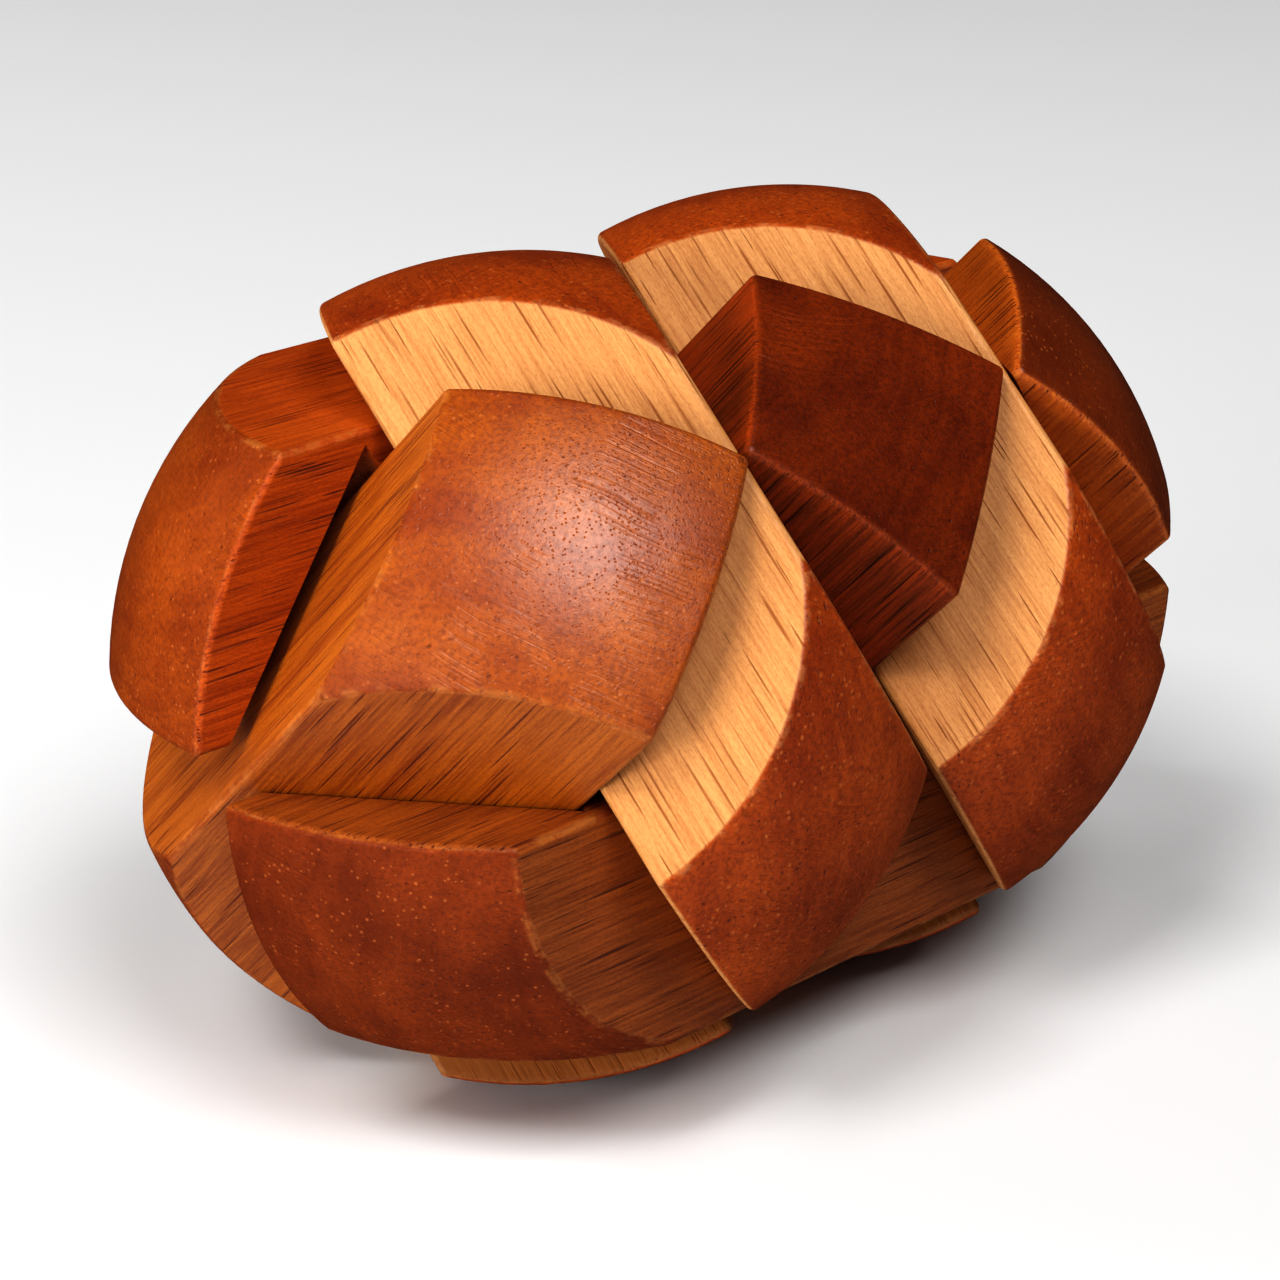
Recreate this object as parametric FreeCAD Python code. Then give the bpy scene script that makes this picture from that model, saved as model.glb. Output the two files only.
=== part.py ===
import FreeCAD, Part
import math
import os
from FreeCAD import Vector

# Double-ball burr puzzle: nine square wooden sticks, each turned 45 degrees about its own length.
# Two balls side by side share the middle stick, which is plain and works as the key. Sizes in mm.
# The puzzle's own directions are `cross` (the four cross bars), `long` (the two long bars) and
# `tall` (the two end bars and the key). The part stands on the lower cross bars, so `cross` and
# `tall` both lean 45 degrees: +X is `long`, and +Z is halfway between `tall` and the opposite of
# `cross`. The origin is the middle of the key, which is also the middle of the whole puzzle.

# Driving dimensions
stick_side = 20.0          # square section of every stick
ball_spacing = 28.6        # from one ball's centre to the other's
cross_offset = 15.4        # from the ball centres' line to the axis of a cross bar
long_offset = 15.9         # from the ball centres' line to the axis of a long bar
ball_radius = 30.6         # the ends of all sticks but the key lie on a ball of this radius
key_end_radius = 30.2      # the key's ends lie on a cylinder about the puzzle's length
edge_radius = 0.6          # sanded edges
notch_clearance = 0.2      # gap between a notch's wall and the stick lying in it
end_bar_play = 0.7         # the end bars lie this far towards the front long bar, in wider notches
upper_right_play = 0.35    # the upper right cross bar lies this far off the upper left one
foot_depth = 0.2           # the lower cross bars are flattened this much where they stand

# Worked out from them
blank_length = 4 * ball_radius
half_spacing = ball_spacing / 2
slope = math.sqrt(0.5)
cross = Vector(0, -slope, -slope)
long = Vector(1, 0, 0)
tall = Vector(0, -slope, slope)
left_ball = long * -half_spacing
right_ball = long * half_spacing


def square_prism(middle, along, side, length):
    """A square stick about `middle`, running `along` one puzzle direction, standing on its edge."""
    across = [axis for axis in (cross, long, tall) if axis.cross(along).Length > 0.5]
    half_diagonal = side * slope
    start = middle - along * (length / 2)
    corners = [
        start + across[0] * half_diagonal,
        start + across[1] * half_diagonal,
        start - across[0] * half_diagonal,
        start - across[1] * half_diagonal,
    ]
    section = Part.Face(Part.makePolygon(corners + corners[:1]))
    return section.extrude(along * length)


def ball(centre):
    """The ball that a stick's ends are turned to."""
    return Part.makeSphere(ball_radius, centre)


def double_ball():
    """Both balls in one, for the long bars, whose two ends belong to different balls."""
    link = Part.makeCylinder(ball_radius, ball_spacing, left_ball, long)
    return ball(left_ball).fuse(ball(right_ball)).fuse(link)


def key_cylinder():
    """The cylinder about the puzzle's length that the key's ends are turned to."""
    return Part.makeCylinder(key_end_radius, 4 * stick_side, long * (-2 * stick_side), long)


def blank(middle, along, ends):
    """A whole stick with turned ends and sanded edges, before any notch is cut."""
    stick = square_prism(middle, along, stick_side, blank_length).common(ends)
    stick = stick.removeSplitter()
    return stick.makeFillet(edge_radius, stick.Edges)


def cut(stick, crossing, play=0.0):
    """Cut the notches for all crossing sticks, given as (middle, direction) pairs.

    Each notch is the crossing stick's own section, wider by the clearance all round, and by the
    play where that stick may lie off the middle.
    """
    notch_side = stick_side + 2 * (notch_clearance + play * slope)
    for middle, along in crossing:
        stick = stick.cut(square_prism(middle, along, notch_side, blank_length))
    return stick


# Where each stick's middle is, and which way the stick runs
upper_left = (left_ball + tall * cross_offset, cross)
upper_right = (right_ball + tall * cross_offset + long * upper_right_play, cross)
lower_left = (left_ball - tall * cross_offset, cross)
lower_right = (right_ball - tall * cross_offset, cross)
front_long = (cross * long_offset, long)
rear_long = (cross * -long_offset, long)
left_end = (left_ball - long * half_spacing, tall)
right_end = (right_ball + long * half_spacing, tall)
key = (Vector(0, 0, 0), tall)
end_bar_shift = cross * end_bar_play


def table():
    """A slab of table, up to the level that the puzzle stands on."""
    top = foot_depth - ball_radius
    corner = Vector(-blank_length / 2, -blank_length / 2, top - stick_side)
    return Part.makeBox(blank_length, blank_length, stick_side, corner)


def cross_bar(place, centre):
    """Two notches in the inner edge for the long bars, and one in the side for the key."""
    stick = blank(*place, ball(centre))
    return cut(stick, [front_long, rear_long, key])


def long_bar(place):
    """Three notches in the inner edge for the end bars and the key."""
    stick = blank(*place, double_ball())
    stick = cut(stick, [key])
    return cut(stick, [left_end, right_end], end_bar_play)


def end_bar(place, centre, neighbours):
    """Two notches in the inner edge for the upper and lower cross bars of the same ball."""
    middle, along = place
    stick = blank(middle + end_bar_shift, along, ball(centre))
    return cut(stick, neighbours)


def key_bar():
    """The plain stick without notches that locks all the others."""
    return blank(*key, key_cylinder())


pieces = {
    "upper_left_bar": cross_bar(upper_left, left_ball),
    "upper_right_bar": cross_bar(upper_right, right_ball),
    "lower_left_bar": cross_bar(lower_left, left_ball).cut(table()),
    "lower_right_bar": cross_bar(lower_right, right_ball).cut(table()),
    "front_long_bar": long_bar(front_long),
    "rear_long_bar": long_bar(rear_long),
    "left_end_bar": end_bar(left_end, left_ball, [upper_left, lower_left]),
    "right_end_bar": end_bar(right_end, right_ball, [upper_right, lower_right]),
    "key_bar": key_bar(),
}

os.makedirs("parts", exist_ok=True)
for name, shape in pieces.items():
    solid = shape.Solids[0]
    print(name, "solids", len(shape.Solids), "valid", solid.isValid(), "volume", round(solid.Volume, 1))
    solid.exportStep(f"parts/{name}.step")
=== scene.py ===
import math
import bmesh
import bpy
import numpy as np
from mathutils import Matrix, Vector


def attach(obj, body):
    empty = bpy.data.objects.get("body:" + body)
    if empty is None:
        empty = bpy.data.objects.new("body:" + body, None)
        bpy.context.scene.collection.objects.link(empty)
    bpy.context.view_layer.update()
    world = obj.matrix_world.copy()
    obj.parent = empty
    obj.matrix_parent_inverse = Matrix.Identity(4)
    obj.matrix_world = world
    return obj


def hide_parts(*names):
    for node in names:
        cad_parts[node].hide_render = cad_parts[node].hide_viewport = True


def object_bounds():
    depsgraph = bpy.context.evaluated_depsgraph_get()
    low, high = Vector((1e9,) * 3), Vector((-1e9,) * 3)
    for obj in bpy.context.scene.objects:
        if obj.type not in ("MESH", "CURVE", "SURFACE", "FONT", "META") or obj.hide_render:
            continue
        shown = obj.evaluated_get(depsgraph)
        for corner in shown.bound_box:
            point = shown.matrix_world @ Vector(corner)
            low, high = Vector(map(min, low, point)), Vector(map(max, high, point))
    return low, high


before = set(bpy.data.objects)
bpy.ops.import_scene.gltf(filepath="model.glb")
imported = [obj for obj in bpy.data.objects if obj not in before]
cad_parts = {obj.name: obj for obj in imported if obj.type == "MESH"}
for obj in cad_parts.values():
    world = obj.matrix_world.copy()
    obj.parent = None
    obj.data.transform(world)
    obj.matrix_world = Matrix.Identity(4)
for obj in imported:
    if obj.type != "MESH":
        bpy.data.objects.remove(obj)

cadBox = [[float(value) for value in corner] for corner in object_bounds()]
print("frame loaded:", len(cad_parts), "sticks")

mm = 0.001                       # one millimetre in Blender's metres
perMetre = 1 / mm                # millimetres in a metre
slope = math.sqrt(0.5)

# The three directions that sticks run in: cross bars, long bars, end bars with the key
stickDirections = {
    "cross": Vector((0, -slope, -slope)),
    "long": Vector((1, 0, 0)),
    "tall": Vector((0, -slope, slope)),
}


def nodePoints(name):
    # every corner of a CAD node's mesh as one array, in millimetres
    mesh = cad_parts[name].data
    points = np.empty(len(mesh.vertices) * 3)
    mesh.vertices.foreach_get("co", points)
    return points.reshape(-1, 3) / mm


def stickMiddle(name):
    # halfway between the furthest points along each of the three directions
    directionRows = np.array([stickDirections[key] for key in ("cross", "long", "tall")])
    reach = nodePoints(name) @ directionRows.T
    return Vector(((reach.min(0) + reach.max(0)) / 2) @ directionRows)


def stickTurn(direction):
    # rows: along the grain, and square to the stick's two pairs of flat sides
    grain = stickDirections[direction]
    others = [axis for key, axis in stickDirections.items() if key != direction]
    sideA = (others[0] + others[1]).normalized()
    sideB = grain.cross(sideA).normalized()
    return Matrix((grain, sideA, sideB))


# Sizes that the wood needs, measured on the CAD sticks, in millimetres
ballShift = abs(stickMiddle("upper_left_bar").x)                  # ball centres at -x and +x
ballRadius = float(nodePoints("upper_left_bar")[:, 2].max())      # its rounded end is the highest point
keyReach = nodePoints("key_bar")
keyEndRadius = float(np.hypot(keyReach[:, 1], keyReach[:, 2]).max())
flatReach = keyReach @ np.array(stickTurn("tall")).T
halfSide = float(flatReach[:, 1].max())                           # from a stick's middle to a flat side
print("ball radius", round(ballRadius, 2), "ball shift", round(ballShift, 2), "key", round(keyEndRadius, 2))


def addNode(tree, kind, inputs=(), **settings):
    # adds a node, then sets or links its inputs
    node = tree.nodes.new(kind)
    for name, value in settings.items():
        setattr(node, name, value)
    for key, value in dict(inputs).items():
        if isinstance(value, bpy.types.NodeSocket):
            tree.links.new(value, node.inputs[key])
        else:
            node.inputs[key].default_value = value
    return node


def calc(tree, operation, *values):
    return addNode(tree, "ShaderNodeMath", enumerate(values), operation=operation).outputs[0]


def invert(tree, value):
    return calc(tree, "SUBTRACT", 1.0, value)


def vectorCalc(tree, operation, *values, out=0):
    return addNode(tree, "ShaderNodeVectorMath", enumerate(values), operation=operation).outputs[out]


def splitAxes(tree, place):
    return addNode(tree, "ShaderNodeSeparateXYZ", {0: place}).outputs


def joinAxes(tree, x, y, z):
    return addNode(tree, "ShaderNodeCombineXYZ", {0: x, 1: y, 2: z}).outputs[0]


def fade(tree, value, start, stop):
    # eases from 0 at start to 1 at stop
    inputs = {"Value": value, "From Min": start, "From Max": stop, "To Min": 0.0, "To Max": 1.0}
    return addNode(tree, "ShaderNodeMapRange", inputs, interpolation_type="SMOOTHSTEP").outputs[0]


def blendNumber(tree, share, first, second):
    return addNode(tree, "ShaderNodeMix", {0: share, 2: first, 3: second}).outputs[0]


def rgb(colour):
    return (*colour, 1.0)


def layColour(tree, under, mask, strength, colour):
    # lays a colour over what is under it, where the mask is and as strongly as given
    share = calc(tree, "MULTIPLY", mask, strength)
    return addNode(tree, "ShaderNodeMix", {0: share, 6: under, 7: rgb(colour)}, data_type="RGBA").outputs[2]


def blendColour(tree, share, first, second):
    return addNode(tree, "ShaderNodeMix", {0: share, 6: first, 7: second}, data_type="RGBA").outputs[2]


def noise(tree, place, scale, detail=2.0, rough=0.5):
    inputs = {"Vector": place, "Scale": scale, "Detail": detail, "Roughness": rough}
    return addNode(tree, "ShaderNodeTexNoise", inputs).outputs["Fac"]


def stretchedNoise(tree, place, perMillimetre, rough):
    # noise with its own fineness along the grain and across it
    return noise(tree, vectorCalc(tree, "MULTIPLY", place, perMillimetre), 1.0, detail=3.0, rough=rough)


def lineNoise(tree, place, scale, detail, rough=0.5):
    inputs = {"W": place, "Scale": scale, "Detail": detail, "Roughness": rough}
    return addNode(tree, "ShaderNodeTexNoise", inputs, noise_dimensions="1D").outputs["Fac"]


number = "NodeSocketFloat"
vector = "NodeSocketVector"


def startGroup(name, inputs, outputs):
    # inputs: socket names and types; outputs: names of numbers
    group = bpy.data.node_groups.new(name, "ShaderNodeTree")
    for label, kind in inputs.items():
        group.interface.new_socket(label, in_out="INPUT", socket_type=kind)
    for label in outputs:
        group.interface.new_socket(label, in_out="OUTPUT", socket_type=number)
    return group, group.nodes.new("NodeGroupInput").outputs, group.nodes.new("NodeGroupOutput").inputs


# Patterns per millimetre along the grain and twice across it; pairs are where a fade starts and ends
figureValues = {
    "drift": (0.12, 1, 1), "driftScale": 0.11,
    "pithLean": (0.035, 1, 1),
    "lateWoodRise": (0.35, 0.93), "lateWoodFall": (1.0, 0.95), "lateWoodShare": 0.45,
    "yearScale": 0.9, "yearTone": (0.3, 0.75),
    "fibres": (0.16, 4.5, 4.5), "fibreRough": 0.65,
    "clouds": (0.05, 0.14, 0.14), "cloudRough": 0.55,
    "flecks": (2.4, 6.0, 6.0), "fleckRough": 0.75,
}


def makeWoodFigure():
    # growth rings about a pith outside the stick, with fibres, clouds and flecks along the grain
    group, given, result = startGroup(
        "woodFigure",
        {"Grain Place": vector, "Pith": vector, "Ring Width": number, "Wander": number},
        ("Rings", "Fibres", "Clouds", "Flecks"),
    )
    values = figureValues
    place = given["Grain Place"]
    drift = noise(group, vectorCalc(group, "MULTIPLY", place, values["drift"]), values["driftScale"])
    across = vectorCalc(group, "MULTIPLY", place, values["pithLean"])
    fromPith = vectorCalc(group, "DISTANCE", across, given["Pith"], out=1)
    bent = calc(group, "MULTIPLY_ADD", drift, given["Wander"], fromPith)
    turns = calc(group, "DIVIDE", bent, given["Ring Width"])
    year = calc(group, "FRACT", turns)
    lateWood = calc(group, "MULTIPLY", fade(group, year, *values["lateWoodRise"]),
                    fade(group, year, *values["lateWoodFall"]))
    yearTone = fade(group, lineNoise(group, turns, values["yearScale"], detail=3.0), *values["yearTone"])
    rings = calc(group, "ADD", calc(group, "MULTIPLY", lateWood, values["lateWoodShare"]), yearTone)
    group.links.new(rings, result["Rings"])
    group.links.new(stretchedNoise(group, place, values["fibres"], values["fibreRough"]), result["Fibres"])
    group.links.new(stretchedNoise(group, place, values["clouds"], values["cloudRough"]), result["Clouds"])
    group.links.new(stretchedNoise(group, place, values["flecks"], values["fleckRough"]), result["Flecks"])
    return group


# Shares of a pore's size: how much sizes differ, the smallest one, and the fully dark core
poreValues = {"spread": 0.9, "smallest": 0.35, "core": 0.45}


def makeWoodPores():
    # long thin vessels: streaks on a side, dots on an end
    group, given, result = startGroup(
        "woodPores",
        {"Grain Place": vector, "Spacing": number, "Length": number, "Size": number},
        ("Pore",),
    )
    perAcross = calc(group, "DIVIDE", 1.0, given["Spacing"])
    perAlong = calc(group, "DIVIDE", 1.0, given["Length"])
    scaling = joinAxes(group, perAlong, perAcross, perAcross)
    place = vectorCalc(group, "MULTIPLY", given["Grain Place"], scaling)
    cells = addNode(group, "ShaderNodeTexVoronoi", {"Vector": place, "Scale": 1.0, "Randomness": 1.0})
    chance = addNode(group, "ShaderNodeSeparateColor", {0: cells.outputs["Color"]}).outputs[0]
    growth = calc(group, "MULTIPLY_ADD", chance, poreValues["spread"], poreValues["smallest"])
    ownSize = calc(group, "MULTIPLY", given["Size"], growth)
    core = calc(group, "MULTIPLY", ownSize, poreValues["core"])
    depthRange = {"Value": cells.outputs["Distance"], "From Min": core, "From Max": ownSize,
                  "To Min": 1.0, "To Max": 0.0}
    group.links.new(addNode(group, "ShaderNodeMapRange", depthRange).outputs[0], result["Pore"])
    return group


# Millimetres below the turned end or the flat side, where each zone starts to fade and is full
zoneValues = {
    "turned": (0.22, 0.04), "nearEnd": (0.8, 0.2), "endRim": (0.3, 0.1), "sideRim": (0.4, 0.15),
    "flat": (0.45, 0.2), "longEdge": (0.7, 0.25),
}


def makeStickSurface():
    # tells turned ends, flat sides, sanded edges and raw notch walls apart by where they are
    group, given, result = startGroup(
        "stickSurface",
        {"Puzzle Place": vector, "Grain Place": vector, "Ball Shift": number, "Ball Share": number,
         "Waist": number, "End Radius": number, "Half Side": number},
        ("End", "Raw", "Edge"),
    )
    zones = zoneValues
    x, y, z = splitAxes(group, given["Puzzle Place"])
    besideBall = calc(group, "SUBTRACT", calc(group, "ABSOLUTE", x), given["Ball Shift"])
    besideBall = calc(group, "MAXIMUM", besideBall, calc(group, "MULTIPLY", given["Waist"], -1.0))
    besideBall = calc(group, "MULTIPLY", besideBall, given["Ball Share"])
    distance = vectorCalc(group, "LENGTH", joinAxes(group, besideBall, y, z), out=1)
    below = calc(group, "SUBTRACT", given["End Radius"], distance)
    nearEnd = fade(group, below, *zones["nearEnd"])
    sides = splitAxes(group, vectorCalc(group, "ABSOLUTE", given["Grain Place"]))
    flatInset = calc(group, "SUBTRACT", given["Half Side"], calc(group, "MAXIMUM", sides[1], sides[2]))
    edgeInset = calc(group, "SUBTRACT", given["Half Side"], calc(group, "MINIMUM", sides[1], sides[2]))
    onSide = fade(group, flatInset, *zones["flat"])
    longEdge = calc(group, "MULTIPLY", fade(group, edgeInset, *zones["longEdge"]), onSide)
    endRim = calc(group, "MULTIPLY", fade(group, below, *zones["endRim"]),
                  fade(group, flatInset, *zones["sideRim"]))
    raw = calc(group, "MULTIPLY", invert(group, onSide), invert(group, nearEnd))
    group.links.new(fade(group, below, *zones["turned"]), result["End"])
    group.links.new(raw, result["Raw"])
    group.links.new(calc(group, "MAXIMUM", longEdge, endRim), result["Edge"])
    return group


sandingValues = {
    "wobbleScale": 0.12, "wobble": 1.6, "lineRough": 0.65, "lines": (0.45, 0.75),
    "patchScale": 0.16, "patches": (0.42, 0.66),
}


def makeSandingMarks():
    # fine arcs left by sanding, in patches
    group, given, result = startGroup(
        "sandingMarks",
        {"Puzzle Place": vector, "Centre": vector, "Closeness": number},
        ("Marks",),
    )
    values = sandingValues
    place = given["Puzzle Place"]
    swing = vectorCalc(group, "DISTANCE", place, given["Centre"], out=1)
    unsteady = calc(group, "MULTIPLY_ADD", noise(group, place, values["wobbleScale"], detail=1.0),
                    values["wobble"], swing)
    along = calc(group, "MULTIPLY", unsteady, given["Closeness"])
    arcs = lineNoise(group, along, 1.0, detail=3.0, rough=values["lineRough"])
    patches = fade(group, noise(group, place, values["patchScale"]), *values["patches"])
    group.links.new(calc(group, "MULTIPLY", fade(group, arcs, *values["lines"]), patches), result["Marks"])
    return group


woodFigure = makeWoodFigure()
woodPores = makeWoodPores()
stickSurface = makeStickSurface()
sandingMarks = makeSandingMarks()
print("shared effects ready")


def useGroup(tree, group, inputs):
    return addNode(tree, "ShaderNodeGroup", inputs, node_tree=group).outputs


# How strongly each effect shows; pairs are where a fade starts and ends, relief is in millimetres
finishValues = {
    "sideTone": (0.32, 0.92), "fleckTone": (0.42, 0.7), "fleckShare": 0.35,
    "poreClumps": (0.15, 0.5), "poreShare": 0.82,
    "blotchScale": 0.1, "blotchRough": 0.6, "blotchTone": (0.26, 0.86),
    "mottleScale": 2.6, "mottleRough": 0.75,
    "mottleTone": (0.38, 0.68), "mottleShare": 0.5,
    "finePitShare": 0.35, "pitShare": 0.6,
    "speckSpacing": 0.6, "speckScale": 0.17,
    "speckPatches": (0.36, 0.52), "speckShare": 0.45,
    "scratchCloseness": 3.2, "scratchShare": 0.22, "rawShare": 0.45,
    "rubbedScale": 0.4, "rubbedRough": 0.7, "rubbedTone": (0.45, 0.6),
    "poreDryness": 0.25, "mottleDryness": 0.12, "rawDryness": 0.25, "edgePolish": 0.08,
    "poreDepth": 0.05, "fibreHeight": 0.05,
    "scratchDepth": 0.04, "mottleHeight": 0.03, "pitDepth": 0.08,
}


def stickWood(name, node, direction, values):
    material = bpy.data.materials.new(name)
    material.use_nodes = True
    tree = material.node_tree
    shader = tree.nodes["Principled BSDF"]
    finish = finishValues
    objectPlace = addNode(tree, "ShaderNodeTexCoord").outputs["Object"]
    toMillimetres = {"Vector": objectPlace, "Scale": (perMetre, perMetre, perMetre)}
    puzzlePlace = addNode(tree, "ShaderNodeMapping", toMillimetres).outputs[0]
    turn = stickTurn(direction)
    toGrain = {**toMillimetres, "Location": -(turn @ stickMiddle(node)), "Rotation": turn.to_euler()}
    stickPlace = addNode(tree, "ShaderNodeMapping", toGrain).outputs[0]
    grainPlace = vectorCalc(tree, "ADD", stickPlace, values["timberShift"])

    surface = useGroup(tree, stickSurface, {
        "Puzzle Place": puzzlePlace, "Grain Place": stickPlace, "Ball Shift": ballShift,
        "Ball Share": values["ballShare"], "Waist": values["waist"],
        "End Radius": values["endRadius"], "Half Side": halfSide})
    figure = useGroup(tree, woodFigure, {
        "Grain Place": grainPlace, "Pith": values["pith"], "Ring Width": values["ringWidth"],
        "Wander": values["ringWander"]})
    bigPores = useGroup(tree, woodPores, {
        "Grain Place": grainPlace, "Spacing": values["poreSpacing"], "Length": values["poreLength"],
        "Size": values["poreSize"]})
    finePores = useGroup(tree, woodPores, {
        "Grain Place": grainPlace, "Spacing": values["finePoreSpacing"],
        "Length": values["finePoreLength"], "Size": values["finePoreSize"]})
    dust = useGroup(tree, woodPores, {
        "Grain Place": puzzlePlace, "Spacing": finish["speckSpacing"], "Length": finish["speckSpacing"],
        "Size": values["speckSize"]})
    marks = useGroup(tree, sandingMarks, {
        "Puzzle Place": puzzlePlace, "Centre": values["sandingCentre"],
        "Closeness": finish["scratchCloseness"]})

    # flat sides: light and dark growth, darker vessels drawn out along the grain
    sideTone = calc(tree, "MULTIPLY_ADD", figure["Rings"], values["ringShare"], figure["Fibres"])
    side = blendColour(tree, fade(tree, sideTone, *finish["sideTone"]),
                       rgb(values["lightWood"]), rgb(values["darkWood"]))
    flecks = fade(tree, figure["Flecks"], *finish["fleckTone"])
    side = layColour(tree, side, flecks, finish["fleckShare"], values["poreColour"])
    poreClumps = fade(tree, figure["Clouds"], *finish["poreClumps"])
    sidePores = calc(tree, "MAXIMUM", bigPores["Pore"],
                     calc(tree, "MULTIPLY", finePores["Pore"], poreClumps))
    side = layColour(tree, side, sidePores, finish["poreShare"], values["poreColour"])

    # turned ends: end grain drinks more finish, so it is redder, blotched and pitted
    blotches = noise(tree, vectorCalc(tree, "ADD", puzzlePlace, values["timberShift"]),
                     finish["blotchScale"], detail=4.0, rough=finish["blotchRough"])
    endTone = calc(tree, "MULTIPLY_ADD", figure["Rings"], values["endRingShare"], blotches)
    endWood = blendColour(tree, fade(tree, endTone, *finish["blotchTone"]),
                          rgb(values["endWarm"]), rgb(values["endDark"]))
    mottle = noise(tree, puzzlePlace, finish["mottleScale"], detail=3.0, rough=finish["mottleRough"])
    mottled = fade(tree, mottle, *finish["mottleTone"])
    endWood = layColour(tree, endWood, mottled, finish["mottleShare"], values["endDeep"])
    pits = calc(tree, "MAXIMUM", bigPores["Pore"],
                calc(tree, "MULTIPLY", finePores["Pore"], finish["finePitShare"]))
    endWood = layColour(tree, endWood, pits, finish["pitShare"], values["endDeep"])
    speckPatches = fade(tree, noise(tree, puzzlePlace, finish["speckScale"]), *finish["speckPatches"])
    specks = calc(tree, "MULTIPLY", dust["Pore"], speckPatches)
    endWood = layColour(tree, endWood, specks, finish["speckShare"], values["speckColour"])
    endWood = layColour(tree, endWood, marks["Marks"], finish["scratchShare"], values["endWarm"])

    # all over: ends on sides, then paler notch walls and rubbed edges
    colour = blendColour(tree, surface["End"], side, endWood)
    colour = layColour(tree, colour, surface["Raw"], finish["rawShare"], values["rawWood"])
    rubbed = noise(tree, puzzlePlace, finish["rubbedScale"], detail=4.0, rough=finish["rubbedRough"])
    rubbed = fade(tree, rubbed, *finish["rubbedTone"])
    wear = calc(tree, "MULTIPLY", surface["Edge"], rubbed)
    colour = layColour(tree, colour, wear, values["edgeWear"], values["wornWood"])
    tree.links.new(colour, shader.inputs["Base Color"])

    # roughness: polished ends, drier sides, dry pores and raw notch walls
    rough = blendNumber(tree, surface["End"], values["sideRoughness"], values["endRoughness"])
    rough = calc(tree, "MULTIPLY_ADD", sidePores, finish["poreDryness"], rough)
    rough = calc(tree, "MULTIPLY_ADD", mottle, finish["mottleDryness"], rough)
    rough = calc(tree, "MULTIPLY_ADD", surface["Raw"], finish["rawDryness"], rough)
    rough = calc(tree, "MULTIPLY_ADD", wear, -finish["edgePolish"], rough)
    tree.links.new(rough, shader.inputs["Roughness"])

    # relief: sunken pores and raised fibres on the sides, pits and sanding marks on the ends
    relief = calc(tree, "MULTIPLY", sidePores, -finish["poreDepth"])
    relief = calc(tree, "MULTIPLY_ADD", figure["Fibres"], finish["fibreHeight"], relief)
    endRelief = calc(tree, "MULTIPLY", mottle, finish["mottleHeight"])
    endRelief = calc(tree, "MULTIPLY_ADD", marks["Marks"], -finish["scratchDepth"], endRelief)
    endRelief = calc(tree, "MULTIPLY_ADD", pits, -finish["pitDepth"], endRelief)
    height = blendNumber(tree, surface["End"], relief, endRelief)
    bump = addNode(tree, "ShaderNodeBump", {"Height": height, "Strength": 1.0, "Distance": mm})
    tree.links.new(bump.outputs[0], shader.inputs["Normal"])
    shader.inputs["Specular IOR Level"].default_value = values["shine"]
    return material


def buildStick(name, node, body, direction, values):
    # the CAD triangles joined up, so that light runs smoothly over the turned ends
    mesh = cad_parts[node].data.copy()
    mesh.name = name
    mesh.materials.clear()
    work = bmesh.new()
    work.from_mesh(mesh)
    bmesh.ops.remove_doubles(work, verts=work.verts, dist=values["joinWithin"] * mm)
    for face in work.faces:
        face.smooth = True
    for edge in work.edges:
        if edge.is_manifold and edge.calc_face_angle() > math.radians(values["sharpAngle"]):
            edge.smooth = False
    work.to_mesh(mesh)
    work.free()
    stick = bpy.data.objects.new(name, mesh)
    bpy.context.scene.collection.objects.link(stick)
    mesh.materials.append(stickWood(name + "Wood", node, direction, values))
    weighted = stick.modifiers.new("evenShading", "WEIGHTED_NORMAL")
    weighted.keep_sharp = True
    weighted.weight = 100            # the strongest pull towards the larger faces
    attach(stick, body)
    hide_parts(node)
    print("built", name, len(mesh.polygons), "faces")


# What all sticks share; each stick's own dictionary changes some of it
commonWood = {
    "joinWithin": 0.002, "sharpAngle": 32,
    "ballShare": 1.0, "waist": 2 * halfSide, "endRadius": ballRadius,
    "lightWood": (0.55, 0.143, 0.0135), "darkWood": (0.297, 0.054, 0.006),
    "poreColour": (0.06, 0.008, 0.002),
    "endWarm": (0.424, 0.08, 0.0078), "endDark": (0.233, 0.036, 0.0052), "endDeep": (0.106, 0.016, 0.0039),
    "rawWood": (0.30, 0.12, 0.035), "wornWood": (0.66, 0.30, 0.08), "speckColour": (0.55, 0.17, 0.04),
    "edgeWear": 0.2, "speckSize": 0.24, "ringShare": 0.15, "endRingShare": 0.1,
    "pith": (0, -26, 31), "ringWidth": 2.1, "ringWander": 5.0, "timberShift": (0, 0, 0),
    "poreSpacing": 1.1, "poreLength": 16.0, "poreSize": 0.11,
    "finePoreSpacing": 0.30, "finePoreLength": 11.0, "finePoreSize": 0.34,
    "sandingCentre": (5, -15, 50),
    "sideRoughness": 0.5, "endRoughness": 0.30, "shine": 0.45,
}
goldenWood = {
    **commonWood, "lightWood": (0.62, 0.30, 0.105), "darkWood": (0.41, 0.155, 0.042),
    "poreColour": (0.25, 0.066, 0.013), "poreSpacing": 0.8, "poreSize": 0.16, "ringShare": 0.08,
    "edgeWear": 0.15, "wornWood": (0.78, 0.46, 0.20), "speckSize": 0.3,
    "endDark": (0.223, 0.033, 0.0052),
}
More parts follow.
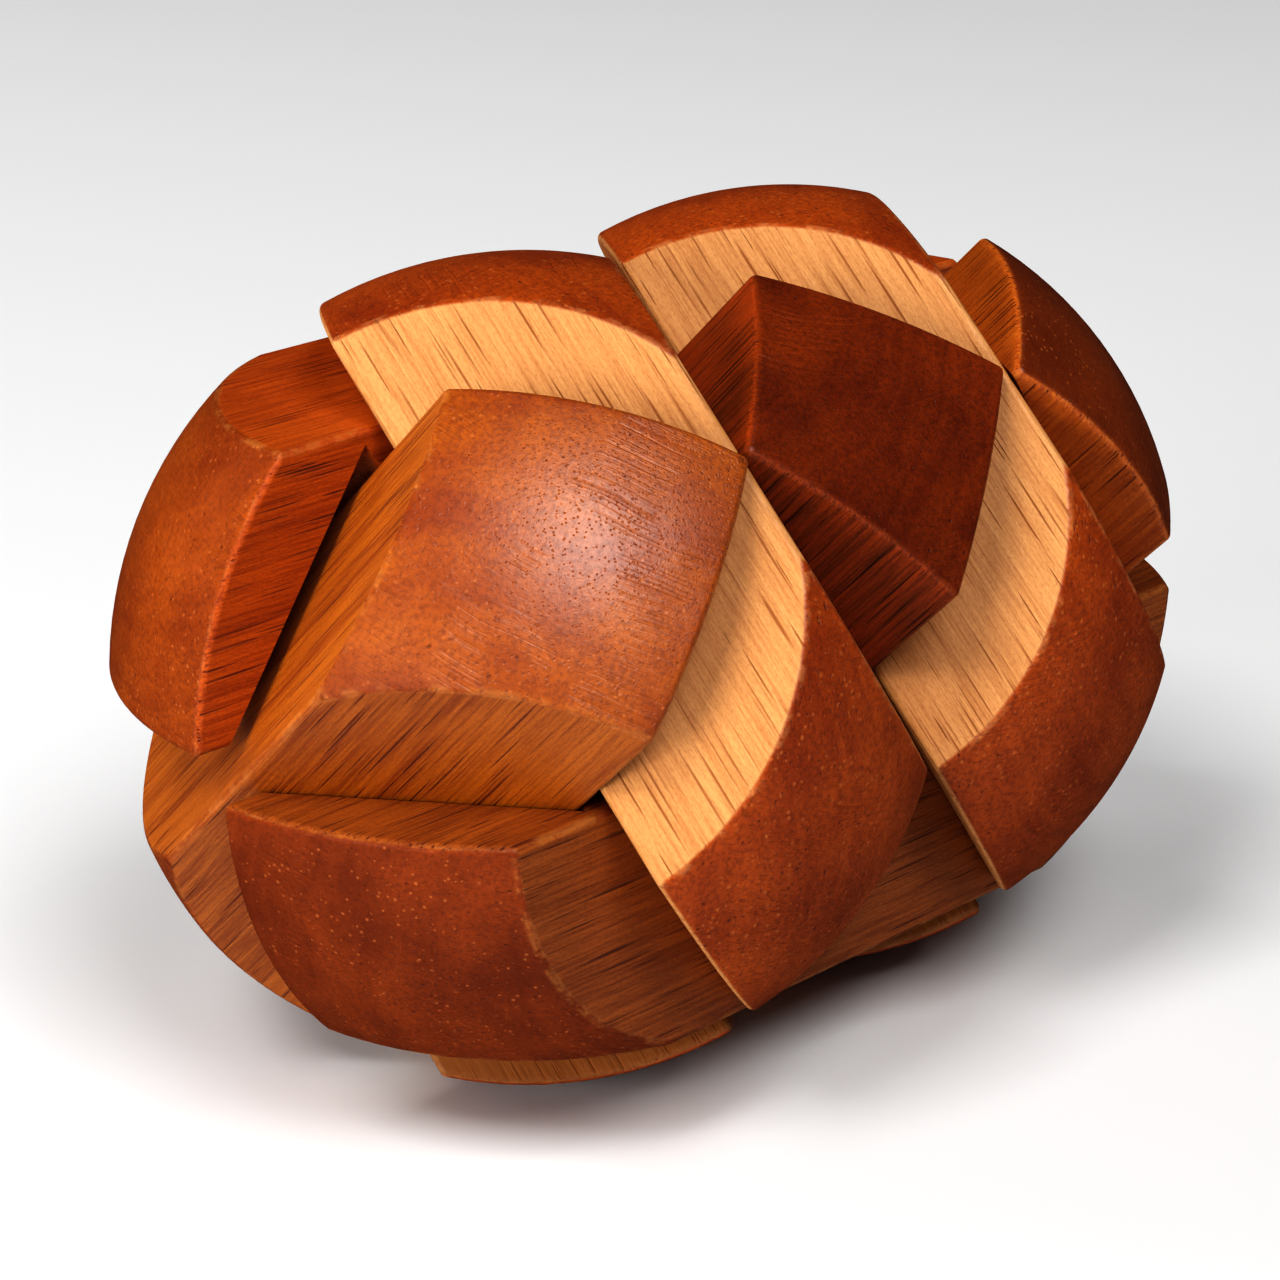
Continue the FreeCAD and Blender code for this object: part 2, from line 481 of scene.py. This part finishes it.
darkWood = {
    **commonWood, "lightWood": (0.352, 0.054, 0.0045), "darkWood": (0.083, 0.015, 0.003),
    "poreColour": (0.02, 0.003, 0.001), "wornWood": (0.35, 0.08, 0.015),
    "speckColour": (0.30, 0.05, 0.010), "speckSize": 0.16,
    "endWarm": (0.24, 0.038, 0.004), "endDark": (0.095, 0.012, 0.0025), "endDeep": (0.042, 0.007, 0.0026),
}

upperLeft = {**goldenWood, "timberShift": (3, 11, 7)}
buildStick("upperLeftStick", "upper_left_bar", "upper_left_cross_bar", "cross", upperLeft)

upperRight = {**goldenWood, "timberShift": (31, -8, 17), "pith": (0, 34, 22)}
buildStick("upperRightStick", "upper_right_bar", "upper_right_cross_bar", "cross",
           upperRight)

# painted shade: the lower cross bars get darker, browner golden wood for the shade they sit in under the
# puzzle
lowerLeft = {**goldenWood, "lightWood": (0.30, 0.105, 0.022), "darkWood": (0.17, 0.050, 0.009),
             "timberShift": (57, 19, -13), "pith": (0, 28, -29)}
buildStick("lowerLeftStick", "lower_left_bar", "lower_cross_bars", "cross", lowerLeft)

# painted shade: darker, browner golden wood for the shade under the puzzle
lowerRight = {**goldenWood, "lightWood": (0.30, 0.105, 0.022), "darkWood": (0.17, 0.050, 0.009),
              "timberShift": (81, -21, 27)}
buildStick("lowerRightStick", "lower_right_bar", "lower_cross_bars", "cross", lowerRight)

# painted shade: the front long bar's side and end colours are darkened to roughly half for the shade low at
# the front
frontLong = {
    **commonWood, "waist": 0.0, "timberShift": (113, 5, 3), "pith": (0, 36, 12),
    "lightWood": (0.33, 0.087, 0.0105), "darkWood": (0.154, 0.03, 0.0045),
    "endWarm": (0.254, 0.046, 0.0052), "endDark": (0.127, 0.02, 0.0039),
}
buildStick("frontLongStick", "front_long_bar", "front_long", "long", frontLong)

rearLong = {
    **commonWood, "waist": 0.0, "timberShift": (151, -15, 9), "pith": (0, -22, -34),
    "lightWood": (0.506, 0.096, 0.006), "darkWood": (0.242, 0.033, 0.003),
    "endWarm": (0.36, 0.078, 0.0065), "endDark": (0.20, 0.034, 0.004),
}
buildStick("rearLongStick", "rear_long_bar", "rear_long", "long", rearLong)

leftEnd = {
    **commonWood, "timberShift": (187, 23, -5), "pith": (0, 18, -38),
    "lightWood": (0.50, 0.140, 0.008), "darkWood": (0.24, 0.045, 0.004),
    "poreColour": (0.12, 0.019, 0.003),
    "endWarm": (0.42, 0.105, 0.006), "endDark": (0.24, 0.040, 0.0035),
    "shine": 1.0, "endRoughness": 0.35,
}
buildStick("leftEndStick", "left_end_bar", "left_end", "tall", leftEnd)

rightEnd = {
    **commonWood, "timberShift": (223, -3, 15), "pith": (0, 30, 24),
    "endWarm": (0.223, 0.043, 0.0065), "endDark": (0.117, 0.02, 0.0039),
}
buildStick("rightEndStick", "right_end_bar", "right_end", "tall", rightEnd)

keyStick = {**darkWood, "timberShift": (259, 13, 21), "ballShare": 0.0, "endRadius": keyEndRadius}
buildStick("keyStick", "key_bar", "key", "tall", keyStick)


floorValues = {"size": 6.0, "colour": (0.80, 0.80, 0.80), "roughness": 0.6}


def makeFloor():
    # a square at the lowest point of the puzzle
    half = floorValues["size"] / 2
    level = cadBox[0][2]
    corners = [(-half, -half, level), (half, -half, level), (half, half, level), (-half, half, level)]
    mesh = bpy.data.meshes.new("floor")
    mesh.from_pydata(corners, [], [(0, 1, 2, 3)])
    floor = bpy.data.objects.new("floor", mesh)
    bpy.context.scene.collection.objects.link(floor)
    paper = bpy.data.materials.new("paper")
    paper.use_nodes = True
    paperShader = paper.node_tree.nodes["Principled BSDF"]
    paperShader.inputs["Base Color"].default_value = rgb(floorValues["colour"])
    paperShader.inputs["Roughness"].default_value = floorValues["roughness"]
    mesh.materials.append(paper)
    floor.visible_glossy = False     # the polished ends don't mirror the pale floor


# Each softbox: where it points from, how far off, its sides, power in watts and if it shows in the polish
softboxes = {
    "mainBox": {"from": (-0.19, -0.58, 0.79), "distance": 3.0, "sides": (1.35, 1.35),
                "power": 52.0, "mirrored": True},
    "highBox": {"from": (-0.60, -0.10, 0.80), "distance": 1.5, "sides": (0.5, 0.5),
                "power": 11.0, "mirrored": False},
    "leftBox": {"from": (-0.98, -0.10, 0.17), "distance": 0.7, "sides": (0.3, 0.3),
                "power": 3.1, "mirrored": False},
    "rearBox": {"from": (-0.45, 0.80, 0.40), "distance": 1.1, "sides": (0.5, 0.35),
                "power": 3.0, "mirrored": False},
}

worldValues = {"colour": (1, 1, 1), "strength": 0.02}


def makeLights():
    for name, box in softboxes.items():
        light = bpy.data.lights.new(name, "AREA")
        light.shape = "RECTANGLE"
        light.size, light.size_y = box["sides"]
        light.energy = box["power"]
        lamp = bpy.data.objects.new(name, light)
        bpy.context.scene.collection.objects.link(lamp)
        lamp.visible_glossy = box["mirrored"]
        lamp.location = Vector(box["from"]).normalized() * box["distance"]
        lamp.rotation_euler = lamp.location.to_track_quat("Z", "Y").to_euler()
    world = bpy.data.worlds.new("studio")
    world.use_nodes = True
    background = world.node_tree.nodes["Background"]
    background.inputs["Color"].default_value = rgb(worldValues["colour"])
    background.inputs["Strength"].default_value = worldValues["strength"]
    bpy.context.scene.world = world


# Eye in metres, and lens, film width and nearest visible distance in millimetres
cameraValues = {"eye": (-0.19065, -0.1806, 0.09585),
                "facing": (0.67645, 0.64895, -0.34826), "lens": 102.9, "film": 36,
                "nearest": 10}


def makeCamera():
    camera = bpy.data.objects.new("camera", bpy.data.cameras.new("camera"))
    camera.data.lens = cameraValues["lens"]
    camera.data.sensor_width = cameraValues["film"]
    camera.data.clip_start = cameraValues["nearest"] * mm
    camera.location = cameraValues["eye"]
    camera.rotation_euler = (-Vector(cameraValues["facing"])).to_track_quat("Z", "Y").to_euler()
    bpy.context.scene.collection.objects.link(camera)
    bpy.context.scene.camera = camera


# A firm contrast keeps the gaps between the sticks dark
pictureValues = {"view_transform": "Standard", "look": "High Contrast", "exposure": -0.1}


def setPictureTone():
    for name, value in pictureValues.items():
        setattr(bpy.context.scene.view_settings, name, value)


makeFloor()
makeLights()
makeCamera()
setPictureTone()
print("floor, lights and camera ready")
